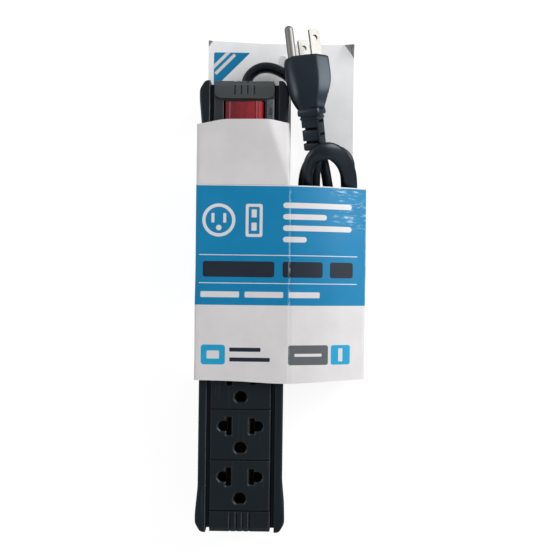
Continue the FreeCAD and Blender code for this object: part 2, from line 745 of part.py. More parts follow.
def lower_wrap():
    o, i = wrap_half, wrap_half - card
    z, edge_z = wrap_z, wrap_z - fold_drop
    foot = card_x1
    outer = [(-o, card), (-o, z), (o, z), (fold_edge_x, edge_z), (foot, card), (foot - flap, card)]
    inner = [(foot - flap, 2 * card), (foot - card * 1.1, 2 * card),
             (fold_edge_x - card * 1.15, edge_z - card * 0.4), (o - 0.1, z - card),
             (-i, z - card), (-i, card)]
    outline = outer + inner
    return wrap(outline, wrap_bottom, wrap_join)


# ---------------------------------------------------------------- every piece
add("base_shell", base_shell())
for n in range(outlets):
    add(f"outlet_face_{n + 1}", outlet_face(n))
add("switch_panel", switch_panel())
add("cord_hood", cord_hood())
add("end_cap", end_cap())
blade_rows = [outlet_centre(n) for n in range(outlets)]
add("live_busbar", busbar(blade_half_spacing, blade_rows, blade_gap, 3.4))
add("neutral_busbar", busbar(-blade_half_spacing, blade_rows, blade_gap, 3.8))
add("earth_busbar", earth_bus())
add("housing_screws", housing_screws())
add("switch_body", switch_body())
add("rocker", rocker())
add("rocker_plunger", plunger())
add("plunger_spring", plunger_spring())
add("contact_arm", contact_arm())
add("switch_terminals", switch_terminals())
add("breaker_bimetal", bimetal_blade())
add("indicator_lamp", cyl(lamp_r, V(-lamp_length / 2, lamp_y, lamp_z), X_AXIS, lamp_length))
add("lamp_resistor", cyl(resistor_r, V(resistor_x - 2.5, lamp_y, resistor_z), X_AXIS, 5.0))
add("cord_gland", cord_gland())
add("cord_inner_end", oval_bar(sheath_end, half_length, -0.05))
add("cord_clamp", cord_clamp())
clamp_screws = [screw(sx * clamp_screw_x, clamp_y, clamp_z + clamp_bar, Z_AXIS * -1, 8.0) for sx in (-1, 1)]
add("clamp_screws", Part.makeCompound(clamp_screws))

# wires inside the housing
terminal_mid = inner_z + terminal_clear + 3.0
face_in = rocker_y + terminal_width / 2
face_out = rocker_y - terminal_width / 2
barrel_y = outlet_y1 + 1.4 - 0.4 + barrel_length
barrel_z = bar_z + bar / 2
wire_run = rocker_y - barrel_y
bend_in, bend_up, bend_under = (barrel_y + share * wire_run for share in (0.155, 0.37, 0.71))
live_route = [V(0, sheath_end, cord_z + 3), V(0, sheath_end - 1.6, cord_z + 3),
              V(-5.6, sheath_end - 3.4, (cord_z + 3 + terminal_mid) / 2),
              V(-terminal_x, face_in + 1.7, terminal_mid), V(-terminal_x, face_in, terminal_mid)]
neutral_route = [V(0, sheath_end, cord_z), V(0, sheath_end - 3, cord_z),
                 V(-3.5, sheath_end - 10, cord_z - 2), V(-4.1, bend_under, cord_z - 1.5),
                 V(-6, bend_up, cord_z + 4), V(-blade_half_spacing, bend_in, barrel_z),
                 V(-blade_half_spacing, barrel_y, barrel_z)]
earth_route = [V(0, sheath_end, cord_z - 3), V(0, sheath_end - 3, cord_z - 3),
               V(3.8, sheath_end - 10, cord_z - 4), V(3.6, bend_under, cord_z - 3.9),
               V(0.8, bend_up, cord_z + 1), V(0, bend_in, barrel_z), V(0, barrel_y, barrel_z)]
switched_route = [V(0, face_out, terminal_mid + 1.5), V(0, face_out - 4, terminal_mid + 1.5),
                  V(4.5, (face_out + bend_up) / 2 - 1.8, cord_z + 4), V(6.2, bend_up - 2, cord_z + 7),
                  V(blade_half_spacing, bend_in, barrel_z), V(blade_half_spacing, barrel_y, barrel_z)]
for name, route in (("live_wire", live_route), ("neutral_wire", neutral_route), ("earth_wire", earth_route),
                    ("switched_wire", switched_route)):
    add(name, tube(route, wire_r, name))

# plug
plug = plug_body()
blades = {"neutral_blade": flat_blade(-1), "live_blade": flat_blade(1), "ground_pin": ground_pin()}
bridge = prong_bridge()
bridge = bridge.cut(list(blades.values()))
plug = plug.cut([bridge] + list(blades.values()))
add("plug_body", plug)
for name, shape in blades.items():
    add(name, shape)
add("prong_bridge", bridge)

# cord outside the housing: points chosen by hand
relief_way = relief_frame()[1].normalize()
lead = [V(0, half_length, cord_z), V(0, 128.6, 9.6), V(5.3, 134.4, 9.8), V(12.2, 135.8, 10.4),
        V(20.4, 133.2, 10.6), V(27.6, 127.2, 10.2), V(33.4, 119.0, 9.4), V(37.0, 109.5, 9.0),
        V(40.2, 99.5, 9.0), V(43.4, 88.6, 9.4)]
add("cord_lead", tube(lead, cord_r, "cord_lead"))
tail = [relief_end, relief_end + relief_way * 5.4, V(35.7, 77.4, 21.6)]
add("cord_tail", tube(tail, cord_r, "cord_tail"))


# the uppermost fold, which stands up over the plug's end of the cord
hank_loop = [V(35.6, 62, 19), V(35.2, 68.4, 26.4), V(35.3, 74.5, 32.0), V(36.9, 79.4, 37.6),
             V(42.2, 83.2, 41.0), V(48.0, 84.8, 39.2), V(54.0, 80.6, 31.6), V(58.0, 74.4, 24.5),
             V(58.6, 68.0, 19.5), V(58.6, 62, 16.0)]


def cord_hank():
    """The folded turns inside the sleeve as one closed block, and the fold above it."""
    r = (hank_x1 - hank_x0) / 2
    cx = (hank_x0 + hank_x1) / 2
    z0 = 2 * card + soft_gap
    bends = [cyl(r, V(cx, y, z0), Z_AXIS, hank_end_top) for y in (hank_y0 + r, hank_y1 - r)]
    plan = fused([box(hank_x0, hank_x1, hank_y0 + r, hank_y1 - r, z0, z0 + hank_end_top)] + bends)
    x, y0, y1 = hank_x0 - 1, hank_y0 - 1, hank_y1 + 1
    side = prism([V(x, y0, z0), V(x, y1, z0 + 4), V(x, y1, hank_end_top), V(x, wrap_join + 1, hank_top),
                  V(x, y0, hank_top)], V(hank_x1 - hank_x0 + 2, 0, 0))
    return fused([plan.common(side), tube(hank_loop, cord_r, "hank_loop")])


add("cord_hank", cord_hank())
add("backing_card", backing_card())
add("upper_wrap", upper_wrap())
add("lower_wrap", lower_wrap())

os.makedirs("parts", exist_ok=True)
for name, shape in NODES.items():
    if not shape.isValid():
        print("not valid:", name)
    shape.exportStep(f"parts/{name}.step")
print(len(NODES), "nodes")
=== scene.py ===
"""A packed power strip: its card sleeve, folded flat cord, moulded plug and every finish."""
import math

import bmesh
import bpy
from mathutils import Matrix, Vector


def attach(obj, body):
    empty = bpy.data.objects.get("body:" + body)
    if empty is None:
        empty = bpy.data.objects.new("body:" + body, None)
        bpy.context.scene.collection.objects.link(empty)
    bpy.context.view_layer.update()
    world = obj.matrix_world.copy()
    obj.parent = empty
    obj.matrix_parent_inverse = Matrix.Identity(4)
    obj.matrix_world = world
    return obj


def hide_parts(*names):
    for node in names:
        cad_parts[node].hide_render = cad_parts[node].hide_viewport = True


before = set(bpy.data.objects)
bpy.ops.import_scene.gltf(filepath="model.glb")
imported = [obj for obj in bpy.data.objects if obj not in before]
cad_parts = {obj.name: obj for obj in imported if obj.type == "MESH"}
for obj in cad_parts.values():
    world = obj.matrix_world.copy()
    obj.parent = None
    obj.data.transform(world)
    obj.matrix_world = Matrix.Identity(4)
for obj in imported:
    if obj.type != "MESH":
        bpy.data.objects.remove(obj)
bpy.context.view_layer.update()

MM = 0.001


def point(x, y, z):
    """A place in millimetres, in metres."""
    return Vector((x, y, z)) * MM


# ---------------------------------------------------------------- working by hand
def deselect():
    if bpy.context.object and bpy.context.object.mode != "OBJECT":
        bpy.ops.object.mode_set(mode="OBJECT")
    bpy.ops.object.select_all(action="DESELECT")


def take(piece, edit=False):
    deselect()
    piece.select_set(True)
    bpy.context.view_layer.objects.active = piece
    if edit:
        bpy.ops.object.mode_set(mode="EDIT")
    return piece


def settle(name):
    """Names the new primitive and puts its place into its mesh."""
    piece = bpy.context.object
    piece.name = piece.data.name = name
    bpy.ops.object.transform_apply(location=True, rotation=True, scale=True)
    return piece


def start_plane(name, x0, x1, y0, y1, z):
    deselect()
    bpy.ops.mesh.primitive_plane_add(size=MM, location=point((x0 + x1) / 2, (y0 + y1) / 2, z))
    bpy.context.object.scale = (x1 - x0, y1 - y0, 1)
    return settle(name)


def start_box(name, x0, x1, y0, y1, z0, z1):
    deselect()
    bpy.ops.mesh.primitive_cube_add(size=MM, location=point((x0 + x1) / 2, (y0 + y1) / 2, (z0 + z1) / 2))
    bpy.context.object.scale = (x1 - x0, y1 - y0, z1 - z0)
    return settle(name)


def start_round(name, r, length, x, y, z, sides=32):
    deselect()
    bpy.ops.mesh.primitive_cylinder_add(vertices=sides, radius=r * MM, depth=length * MM,
                                        location=point(x, y, z))
    return settle(name)


def choose(kind, test):
    """In edit mode, selects what passes a test of its middle, way and size, in millimetres."""
    bpy.ops.mesh.select_mode(type=kind)
    bpy.ops.mesh.select_all(action="DESELECT")
    mesh = bmesh.from_edit_mesh(bpy.context.object.data)
    for item in {"FACE": mesh.faces, "EDGE": mesh.edges, "VERT": mesh.verts}[kind]:
        if kind == "FACE":
            facts = item.calc_center_median() / MM, item.normal, item.calc_area() / MM / MM
        elif kind == "EDGE":
            a, b = (v.co for v in item.verts)
            facts = (a + b) / 2 / MM, (b - a).normalized(), (b - a).length / MM
        else:
            facts = item.co / MM, item.normal, 0
        if test(*facts):
            item.select_set(True)
    mesh.select_flush_mode()
    bmesh.update_edit_mesh(bpy.context.object.data)


def extrude(x, y, z):
    bpy.ops.mesh.extrude_region_move(TRANSFORM_OT_translate={"value": point(x, y, z)})


def modify(piece, kind, **values):
    """Adds a modifier and applies it."""
    take(piece)
    modifier = piece.modifiers.new(kind.lower(), kind)
    for key, value in values.items():
        setattr(modifier, key, value)
    bpy.ops.object.modifier_apply(modifier=modifier.name)


def reshape(piece, rule):
    """Moves every vertex by a rule on its place in millimetres."""
    for v in piece.data.vertices:
        v.co = point(*rule(*(v.co / MM)))


def ease(t):
    t = min(max(t, 0.0), 1.0)
    return t * t * (3 - 2 * t)


def smooth(piece, degrees=35):
    take(piece)
    bpy.ops.object.shade_smooth_by_angle(angle=math.radians(degrees))


def outward(piece):
    take(piece, edit=True)
    bpy.ops.mesh.select_all(action="SELECT")
    bpy.ops.mesh.remove_doubles(threshold=0.01 * MM)
    bpy.ops.mesh.normals_make_consistent(inside=False)
    deselect()


def cut(piece, cutters):
    """Cuts the cutters out of the piece and throws them away."""
    for tool in cutters:
        modify(piece, "BOOLEAN", operation="DIFFERENCE", object=tool, solver="EXACT",
               material_mode="TRANSFER")
        bpy.data.objects.remove(tool)


def done(piece, body, slot, material, *nodes):
    """Gives a piece its finish, the body it moves with and the nodes it stands for."""
    piece.data.materials.clear()
    piece.data.materials.append(material)
    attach(piece, body)
    if nodes:
        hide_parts(*nodes)
    return piece


# ---------------------------------------------------------------- finishes
def put(tree, kind, inputs=None, **settings):
    node = tree.nodes.new("ShaderNode" + kind)
    for key, value in settings.items():
        setattr(node, key, value)
    for key, value in (inputs or {}).items():
        if isinstance(value, bpy.types.NodeSocket):
            tree.links.new(value, node.inputs[key])
        else:
            node.inputs[key].default_value = value
    return node


def maths(tree, operation, a, b=0.0, clamp=False):
    return put(tree, "Math", {0: a, 1: b}, operation=operation, use_clamp=clamp).outputs[0]


def blend_colour(tree, factor, a, b):
    return put(tree, "Mix", {0: factor, 6: a, 7: b}, data_type="RGBA").outputs[2]


def ramp(tree, value, low, high, to_low=0.0, to_high=1.0):
    return put(tree, "MapRange", {"Value": value, "From Min": low, "From Max": high, "To Min": to_low,
                                  "To Max": to_high}, interpolation_type="SMOOTHSTEP").outputs[0]


def noise(tree, vector, scale, detail=3.0, roughness=0.5):
    return put(tree, "TexNoise", {"Vector": vector, "Scale": scale, "Detail": detail,
                                  "Roughness": roughness}).outputs["Fac"]


def times(tree, a, b):
    return maths(tree, "MULTIPLY", a, b)


def apart(tree, a, b):
    """How far apart two values are."""
    return maths(tree, "ABSOLUTE", maths(tree, "SUBTRACT", a, b))


def brighten(tree, value, colour):
    return put(tree, "HueSaturation", {"Value": value, "Color": colour}).outputs[0]


def stretched(tree, vector, scale, turn=0.0):
    """The vector scaled, and turned about Z, for a grain that runs one way."""
    return put(tree, "Mapping", {"Vector": vector, "Rotation": (0, 0, turn), "Scale": scale}).outputs[0]


def group(name, inputs, outputs):
    tree = bpy.data.node_groups.new(name, "ShaderNodeTree")
    for label, kind in inputs:
        tree.interface.new_socket(name=label, in_out="INPUT", socket_type="NodeSocket" + kind)
    for label, kind in outputs:
        tree.interface.new_socket(name=label, in_out="OUTPUT", socket_type="NodeSocket" + kind)
    return tree, tree.nodes.new("NodeGroupInput").outputs, tree.nodes.new("NodeGroupOutput").inputs


def surface_group():
    """Tone, gloss and height that vary a little over a moulded, rolled or coated surface."""
    tree, given, result = group(
        "surface_variation",
        [("Vector", "Vector"), ("Colour", "Color"), ("Tone", "Float"), ("Roughness", "Float"),
         ("Grain", "Float"), ("Scratches", "Float")],
        [("Colour", "Color"), ("Roughness", "Float"), ("Height", "Float")])
    broad = noise(tree, given["Vector"], 38.0, 4.0)
    fine = noise(tree, given["Vector"], given["Grain"], 2.0, 0.6)
    lines = noise(tree, stretched(tree, given["Vector"], (1, 0.04, 1), 0.5), 900.0, 2.0)
    worn = times(tree, ramp(tree, lines, 0.66, 0.72), given["Scratches"])
    tone = maths(tree, "MULTIPLY_ADD", maths(tree, "SUBTRACT", broad, 0.5), given["Tone"])
    tree.nodes[-1].inputs[2].default_value = 1.0
    bright = brighten(tree, tone, given["Colour"])
    scratched = blend_colour(tree, times(tree, worn, 0.25), bright, (0.5, 0.5, 0.5, 1))
    tree.links.new(scratched, result["Colour"])
    gloss = maths(tree, "MULTIPLY_ADD", maths(tree, "SUBTRACT", broad, 0.5), 0.18)
    tree.links.new(given["Roughness"], tree.nodes[-1].inputs[2])
    tree.links.new(maths(tree, "ADD", gloss, times(tree, worn, 0.15), True), result["Roughness"])
    tree.links.new(maths(tree, "SUBTRACT", fine, times(tree, worn, 0.5)), result["Height"])
    return tree


PRINT_BLUR = 0.00006  # half the width of a printed edge


def print_group():
    """A printed rounded box: 1 inside, 0 outside."""
    tree, given, result = group(
        "printed_box",
        [("Vector", "Vector"), ("X", "Float"), ("Y", "Float"), ("Half Width", "Float"),
         ("Half Height", "Float"), ("Corner", "Float")],
        [("Mask", "Float")])
    parts = put(tree, "SeparateXYZ", {0: given["Vector"]}).outputs
    outside = []
    for axis, centre, half in ((0, "X", "Half Width"), (1, "Y", "Half Height")):
        core = maths(tree, "SUBTRACT", given[half], given["Corner"])
        beyond = maths(tree, "SUBTRACT", apart(tree, parts[axis], given[centre]), core)
        outside.append(maths(tree, "MAXIMUM", beyond, 0.0))
    squares = [times(tree, value, value) for value in outside]
    far = maths(tree, "SQRT", maths(tree, "ADD", *squares))
    inside = maths(tree, "SUBTRACT", given["Corner"], far)
    tree.links.new(ramp(tree, inside, -PRINT_BLUR, PRINT_BLUR), result["Mask"])
    return tree


SURFACE = surface_group()
PRINTED = print_group()


def object_place(tree, scale=(1, 1, 1), turn=(0, 0, 0)):
    coords = put(tree, "TexCoord").outputs["Object"]
    return put(tree, "Mapping", {"Vector": coords, "Scale": scale, "Rotation": turn}).outputs[0]


def new_material(name):
    material = bpy.data.materials.new(name)
    material.use_nodes = True
    material.node_tree.nodes.clear()
    return material, material.node_tree


def shade(tree, colour, roughness, height=None, depth=0.05, edge=0.0, **sockets):
    """The Principled shader, its bump over edges softened by a radius in mm, and the output. Softened edges
    that turn towards +X, where the lamp is, also get a painted highlight in their colour.
    """
    if edge:
        rounded = put(tree, "Bevel", {"Radius": edge * MM}, samples=6).outputs[0]
        bent = put(tree, "SeparateXYZ", {0: rounded}).outputs[0]
        flat = put(tree, "SeparateXYZ", {0: put(tree, "NewGeometry").outputs["True Normal"]}).outputs[0]
        # painted highlight: a pale grey blended in where the softened edge leans towards +X, the lamp's side
        painted_edge_highlight = ramp(tree, maths(tree, "SUBTRACT", bent, flat), 0.12, 0.4, 0, 0.75)
        colour = blend_colour(tree, painted_edge_highlight, colour, (0.09, 0.098, 0.105, 1))
    values = {"Base Color": colour, "Roughness": roughness}
    values.update({key.replace("_", " "): value for key, value in sockets.items()})
    shader = put(tree, "BsdfPrincipled", values)
    if height is not None:
        bump = put(tree, "Bump", {"Height": height, "Strength": 1.0, "Distance": depth * MM})
        if edge:
            tree.links.new(rounded, bump.inputs["Normal"])
        tree.links.new(bump.outputs[0], shader.inputs["Normal"])
    put(tree, "OutputMaterial", {"Surface": shader.outputs[0]})
    return shader


def finish(name, colour, roughness, tone=0.25, grain=1500.0, depth=0.02, scratches=0.15,
           stretch=(1, 1, 1), **sockets):
    material, tree = new_material(name)
    varied = put(tree, "Group", node_tree=SURFACE)
    tree.links.new(object_place(tree, stretch), varied.inputs["Vector"])
    for label, value in (("Colour", (*colour, 1)), ("Tone", tone), ("Roughness", roughness), ("Grain", grain),
                         ("Scratches", scratches)):
        varied.inputs[label].default_value = value
    out = varied.outputs
    shade(tree, out["Colour"], out["Roughness"], out["Height"], depth, **sockets)
    return material


def printed(tree, place, x, y, half_width, half_height, corner):
    """A rounded box of print, all in millimetres."""
    node = put(tree, "Group", node_tree=PRINTED)
    tree.links.new(place, node.inputs["Vector"])
    sizes = {"X": x, "Y": y, "Half Width": half_width, "Half Height": half_height, "Corner": corner}
    for label, value in sizes.items():
        node.inputs[label].default_value = value * MM
    return node.outputs[0]


INK_BLUE = (0.001, 0.215, 0.44, 1)
INK_DARK = (0.012, 0.02, 0.035, 1)
INK_GREY = (0.11, 0.12, 0.13, 1)
INK_SKY = (0.01, 0.36, 0.62, 1)
CARD_WHITE = (0.74, 0.715, 0.72, 1)


def card_face(tree, colour, place, rough=0.46, scuffs_and_sheen=None):
    """Coated card: faint mottling, pressed fibres and, where given, pale scuffs and painted sheen."""
    mottled = noise(tree, place, 60.0, 5.0, 0.6)
    fibres = noise(tree, stretched(tree, place, (1, 0.25, 1)), 2600.0, 2.0)
    waves = noise(tree, place, 22.0, 2.0)
    tone = brighten(tree, ramp(tree, mottled, 0.2, 0.8, 0.95, 1.04), colour)
    height = maths(tree, "ADD", times(tree, fibres, 0.04), waves)
    gloss = ramp(tree, mottled, 0.2, 0.8, rough - 0.04, rough + 0.06)
    # the pale marks are real scuffs and wear, and in the printed card's corner also painted sheen
    if scuffs_and_sheen is not None:
        tone = blend_colour(tree, scuffs_and_sheen, tone, (0.72, 0.86, 0.92, 1))
        height = maths(tree, "ADD", height, times(tree, scuffs_and_sheen, 0.6))
    shade(tree, tone, gloss, height, 0.12, Coat_Weight=0.04, Coat_Roughness=0.25,
          Specular_IOR_Level=0.32)


def fold_wear(tree, place, x, y0, y1):
    """Broken print along a fold that runs along Y."""
    parts = put(tree, "SeparateXYZ", {0: place}).outputs
    near = ramp(tree, apart(tree, parts[0], x * MM), 0.2 * MM, 0.9 * MM, 1.0, 0.0)
    flakes = noise(tree, stretched(tree, place, (3, 0.5, 1)), 420.0, 4.0, 0.7)
    broken = ramp(tree, flakes, 0.42, 0.6)
    along = times(tree, ramp(tree, parts[1], y0 * MM, (y0 + 4) * MM),
                  ramp(tree, parts[1], (y1 - 4) * MM, y1 * MM, 1, 0))
    return times(tree, times(tree, near, broken), times(tree, along, 0.34))


def printed_card():
    """The blue band, rules and plain shapes of the lower sleeve."""
    material, tree = new_material("printed_card")
    place = object_place(tree)
    parts = put(tree, "SeparateXYZ", {0: place}).outputs
    band = times(tree, ramp(tree, parts[1], 0.80 * MM, 0.92 * MM),
                 ramp(tree, parts[1], 65.75 * MM, 65.85 * MM, 1, 0))
    colour = blend_colour(tree, band, CARD_WHITE, INK_BLUE)
    # each mark has its middle, half width, half height and corner radius
    layers = (
        (CARD_WHITE, ((20.0, 28.1, 43.5, 0.22, 0.2), (20.0, 12.8, 43.5, 0.22, 0.2),
                      (41.0, 55.4, 19.0, 1.5, 1.5), (34.0, 49.2, 12.0, 1.5, 1.5),
                      (41.0, 43.0, 19.0, 1.5, 1.5), (28.5, 36.8, 6.5, 1.5, 1.5),
                      (-13.0, 47.0, 9.0, 9.0, 9.0), (-12.0, 6.6, 10.5, 1.6, 0.6),
                      (12.0, 6.6, 10.5, 1.6, 0.6), (34.0, 6.6, 8.5, 1.6, 0.6),
                      (6.2, 47.0, 4.6, 9.0, 1.2))),
        (INK_BLUE, ((-13.0, 47.0, 7.2, 7.2, 7.2), (6.2, 47.0, 3.0, 7.4, 0.6))),
        (CARD_WHITE, ((-16.2, 48.2, 0.8, 2.6, 0.3), (-9.8, 48.2, 0.8, 2.6, 0.3),
                      (-13.0, 42.9, 1.5, 1.5, 1.5), (6.2, 50.8, 1.4, 2.2, 0.4),
                      (6.2, 43.6, 1.4, 2.2, 0.4))),
        (INK_DARK, ((-2.0, 20.4, 19.5, 4.3, 1.4), (33.0, 20.4, 11.0, 4.3, 1.4),
                    (54.5, 20.4, 6.5, 4.3, 1.4))),
        (INK_GREY, ((36.5, -26.2, 11.0, 5.4, 1.2),)),
        (INK_SKY, ((54.5, -26.2, 5.4, 5.4, 1.2), (-15.4, -26.2, 6.6, 5.4, 1.6))),
        (CARD_WHITE, ((54.5, -26.2, 1.2, 3.6, 0.3), (-15.4, -26.2, 3.4, 2.2, 0.7),
                      (36.5, -26.2, 7.5, 0.8, 0.4))),
        (INK_DARK, ((2.0, -23.4, 8.5, 1.1, 0.5), (4.6, -28.8, 11.0, 1.1, 0.5))),
    )
    for ink, marks in layers:
        for mark in marks:
            colour = blend_colour(tree, printed(tree, place, *mark), colour, ink)
    # pale streaks in the upper right: rubbed scuffs, and painted sheen where the wrinkles catch the lamp
    corner = times(tree, ramp(tree, parts[0], 42 * MM, 52 * MM), ramp(tree, parts[1], 40 * MM, 50 * MM))
    streaks = noise(tree, stretched(tree, place, (1, 5, 1)), 130.0, 5.0, 0.65)
    patches = noise(tree, place, 95.0, 2.0)
    rubbed_and_sheen = times(tree, ramp(tree, streaks, 0.5, 0.68), ramp(tree, patches, 0.42, 0.62))
    scuffs_and_sheen = times(tree, corner, rubbed_and_sheen)
    wear = maths(tree, "ADD", *(fold_wear(tree, place, x, -41, 66.5) for x in (25.7, 68.6)))
    card_face(tree, colour, place, scuffs_and_sheen=maths(tree, "MAXIMUM", times(tree, scuffs_and_sheen, 0.75), wear))
    return material


def plain_card():
    """The bare white upper sleeve."""
    material, tree = new_material("plain_card")
    place = object_place(tree)
    wear = times(tree, fold_wear(tree, place, 24.5, 66, 103), 0.2)
    card_face(tree, CARD_WHITE, place, scuffs_and_sheen=wear)
    return material


def backing_card():
    """Pale card with a blue corner triangle that carries two plain stripes, and two bare corners."""
    material, tree = new_material("backing_card")
    place = object_place(tree)
    parts = put(tree, "SeparateXYZ", {0: place}).outputs
    low = maths(tree, "SUBTRACT", parts[1], parts[0])
    inside = times(tree, ramp(tree, low, 143.6 * MM, 143.8 * MM),
                   printed(tree, place, -8.5, 135.2, 10.5, 10.5, 1.0))
    half_stripe = 1.3
    stripes = [ramp(tree, apart(tree, low, middle * MM), (half_stripe - 0.1) * MM,
                    (half_stripe + 0.1) * MM, 1, 0) for middle in (151.4, 156.4)]
    across = apart(tree, maths(tree, "ADD", parts[0], parts[1]), 126.5 * MM)
    lines = times(tree, maths(tree, "MAXIMUM", *stripes), ramp(tree, across, 11 * MM, 11.3 * MM, 1, 0))
    colour = blend_colour(tree, inside, (0.93, 0.93, 0.94, 1), INK_BLUE)
    colour = blend_colour(tree, times(tree, inside, lines), colour, CARD_WHITE)
    for x, y, run in ((61.8, 150.9, 5.6), (-22.1, 152.4, 2.6)):
        away = maths(tree, "ADD", apart(tree, parts[0], x * MM),
                     times(tree, apart(tree, parts[1], y * MM), 0.72))
        hatch = noise(tree, stretched(tree, place, (6, 0.6, 1), 0.9), 300.0, 2.0)
        bare = brighten(tree, ramp(tree, hatch, 0.35, 0.65, 0.6, 1.3), (0.27, 0.27, 0.27, 1))
        turned = ramp(tree, away, (run - 0.3) * MM, (run + 0.3) * MM, 1, 0)
        colour = blend_colour(tree, turned, colour, bare)
    card_face(tree, colour, place, rough=0.5)
    return material


def lens_red():
    """Translucent red, painted darker towards the sunk left end and lighter towards the raised right end that
    faces the lamp, with lines along its ends.
    """
    material, tree = new_material("lens_red")
    place = object_place(tree)
    parts = put(tree, "SeparateXYZ", {0: place}).outputs
    # painted light and shade: dark red at the sunk left end, lighter red at the raised right end
    across = ramp(tree, parts[0], -9 * MM, 9 * MM)
    colour = blend_colour(tree, across, (0.16, 0.012, 0.02, 1), (0.42, 0.02, 0.03, 1))
    clouds = noise(tree, place, 300.0, 3.0)
    colour = brighten(tree, ramp(tree, clouds, 0.2, 0.8, 0.85, 1.15), colour)
    # the three pale lines are painted highlights on the end edges; one dark line at 6.1 mm
    lines = ((-7.9, (0.42, 0.12, 0.13, 1)), (6.9, (0.50, 0.16, 0.17, 1)),
             (8.5, (0.44, 0.10, 0.11, 1)), (6.1, (0.10, 0.004, 0.006, 1)))
    for x, tint in lines:
        away = apart(tree, parts[0], x * MM)
        colour = blend_colour(tree, ramp(tree, away, 0.12 * MM, 0.42 * MM, 0.85, 0), colour, tint)
    shade(tree, colour, ramp(tree, clouds, 0.3, 0.7, 0.16, 0.24), clouds, 0.03, Coat_Weight=0.5,
          Coat_Roughness=0.08, Subsurface_Weight=0.15, Subsurface_Radius=(0.004, 0.001, 0.001),
          Subsurface_Scale=0.3)
    return material


def panel_black():
    """Spark-eroded panel: lightly speckled, with painted light beside the rocker where the marks stand (a
    paler copy of its colour) and a painted highlight line down its right edge.
    """
    material, tree = new_material("panel_black")
    place = object_place(tree)
    # painted light: a paler, lit copy of the panel's colour right of the rocker
    painted_light_patch = printed(tree, place, 14.4, 101.0, 2.0, 12.5, 0.5)
    specks = noise(tree, place, 1900.0, 3.0, 0.7)
    plain = brighten(tree, ramp(tree, specks, 0.3, 0.7, 0.75, 1.3), (0.017, 0.021, 0.024, 1))
    pale = brighten(tree, ramp(tree, specks, 0.3, 0.7, 0.65, 1.35), (0.10, 0.11, 0.125, 1))
    # painted highlight: a pale line down the panel's right edge, where it catches the lamp
    lit = printed(tree, place, 15.9, 101.0, 0.32, 12.5, 0.1)
    pale = blend_colour(tree, lit, pale, (0.24, 0.25, 0.27, 1))
    shade(tree, blend_colour(tree, painted_light_patch, plain, pale), ramp(tree, specks, 0.2, 0.8, 0.42, 0.55),
          specks, 0.06, edge=0.9)
    return material


SKY = (0.74, 0.87, 1.0, 1)
# edge= softens the edges and also paints a highlight on those that face the lamp
black = finish("housing_black", (0.0060, 0.0090, 0.0120), 0.36, tone=0.5, grain=2200, depth=0.012,
               scratches=0.12, edge=1.1, Specular_Tint=SKY)
# painted light: this grey is lighter than the housing black because the hood's sloped top faces the lamp; the
# clamp, prong bridge and switch marks share it
hood_painted_light = finish("hood_painted_light", (0.048, 0.056, 0.058), 0.48, tone=0.3, grain=1700, depth=0.03,
                   scratches=0.1, edge=0.4)
cord_black = finish("cord_black", (0.0055, 0.0085, 0.0120), 0.34, tone=0.35, grain=900, depth=0.02,
                    scratches=0.1, Specular_Tint=SKY)
plug_black = finish("plug_black", (0.0085, 0.0140, 0.0200), 0.36, tone=0.3, grain=1300, depth=0.015,
                    scratches=0.1, Specular_Tint=SKY)
# painted shade: a near-black copy of the plug plastic for the walls of the relief's slots, standing for the
# shade inside them
slot_painted_shade = finish("slot_painted_shade", (0.0015, 0.0022, 0.0030), 0.7, tone=0.2, grain=1300, depth=0.01,
                    scratches=0.0)
# painted shade: the brass is darkened to stand for the shade deep in the outlet holes
brass_painted_shade = finish("busbar_brass_painted_shade", (0.05, 0.032, 0.014), 0.55, tone=0.4, grain=700, stretch=(3, 0.2, 1),
               Metallic=1.0)
copper = finish("contact_copper", (0.72, 0.36, 0.24), 0.28, tone=0.3, grain=700, stretch=(0.2, 3, 1),
                Metallic=1.0)
nickel = finish("nickel_plate", (0.30, 0.292, 0.272), 0.48, tone=0.12, grain=500, stretch=(4, 0.15, 1),
                scratches=0.4, Metallic=1.0)
zinc = finish("zinc_steel", (0.6, 0.6, 0.6), 0.34, tone=0.2, grain=900, Metallic=1.0)
bimetal = finish("bimetal_strip", (0.5, 0.44, 0.38), 0.36, tone=0.3, grain=900, stretch=(0.2, 3, 1),
                 Metallic=1.0)
switch_black = finish("switch_black", (0.012, 0.012, 0.013), 0.5, grain=1500, depth=0.03)
lamp_glass = finish("lamp_glass", (0.95, 0.72, 0.55), 0.06, tone=0.1, scratches=0.0, depth=0.002,
                    Transmission_Weight=0.85)
resistor = finish("resistor_coat", (0.62, 0.48, 0.28), 0.4, grain=1200)
wires = {
    "live_wire": finish("wire_black", (0.012, 0.012, 0.012), 0.35, grain=900),
    "neutral_wire": finish("wire_white", (0.75, 0.74, 0.7), 0.38, tone=0.08, grain=900),
    "earth_wire": finish("wire_green", (0.02, 0.24, 0.06), 0.36, grain=900),
    "switched_wire": finish("wire_red", (0.42, 0.02, 0.015), 0.36, grain=900),
}
looks = {
    "base_shell": black, "end_cap": black, "switch_panel": panel_black(), "cord_hood": hood_painted_light,
    "live_busbar": brass_painted_shade, "neutral_busbar": brass_painted_shade, "earth_busbar": brass_painted_shade,
    "housing_screws": zinc, "clamp_screws": zinc,
    "switch_body": switch_black, "rocker": lens_red(), "rocker_plunger": zinc, "plunger_spring": zinc,
    "contact_arm": copper, "switch_terminals": copper, "breaker_bimetal": bimetal,
    "indicator_lamp": lamp_glass, "lamp_resistor": resistor,
    "cord_gland": cord_black, "cord_inner_end": cord_black, "cord_clamp": hood_painted_light,
    "live_blade": nickel, "neutral_blade": nickel, "ground_pin": nickel, "prong_bridge": hood_painted_light, **wires,
    **{f"outlet_face_{i}": black for i in range(1, 7)},
}
for name, material in looks.items():
    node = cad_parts[name]
    node.data.materials.clear()
    node.data.materials.append(material)

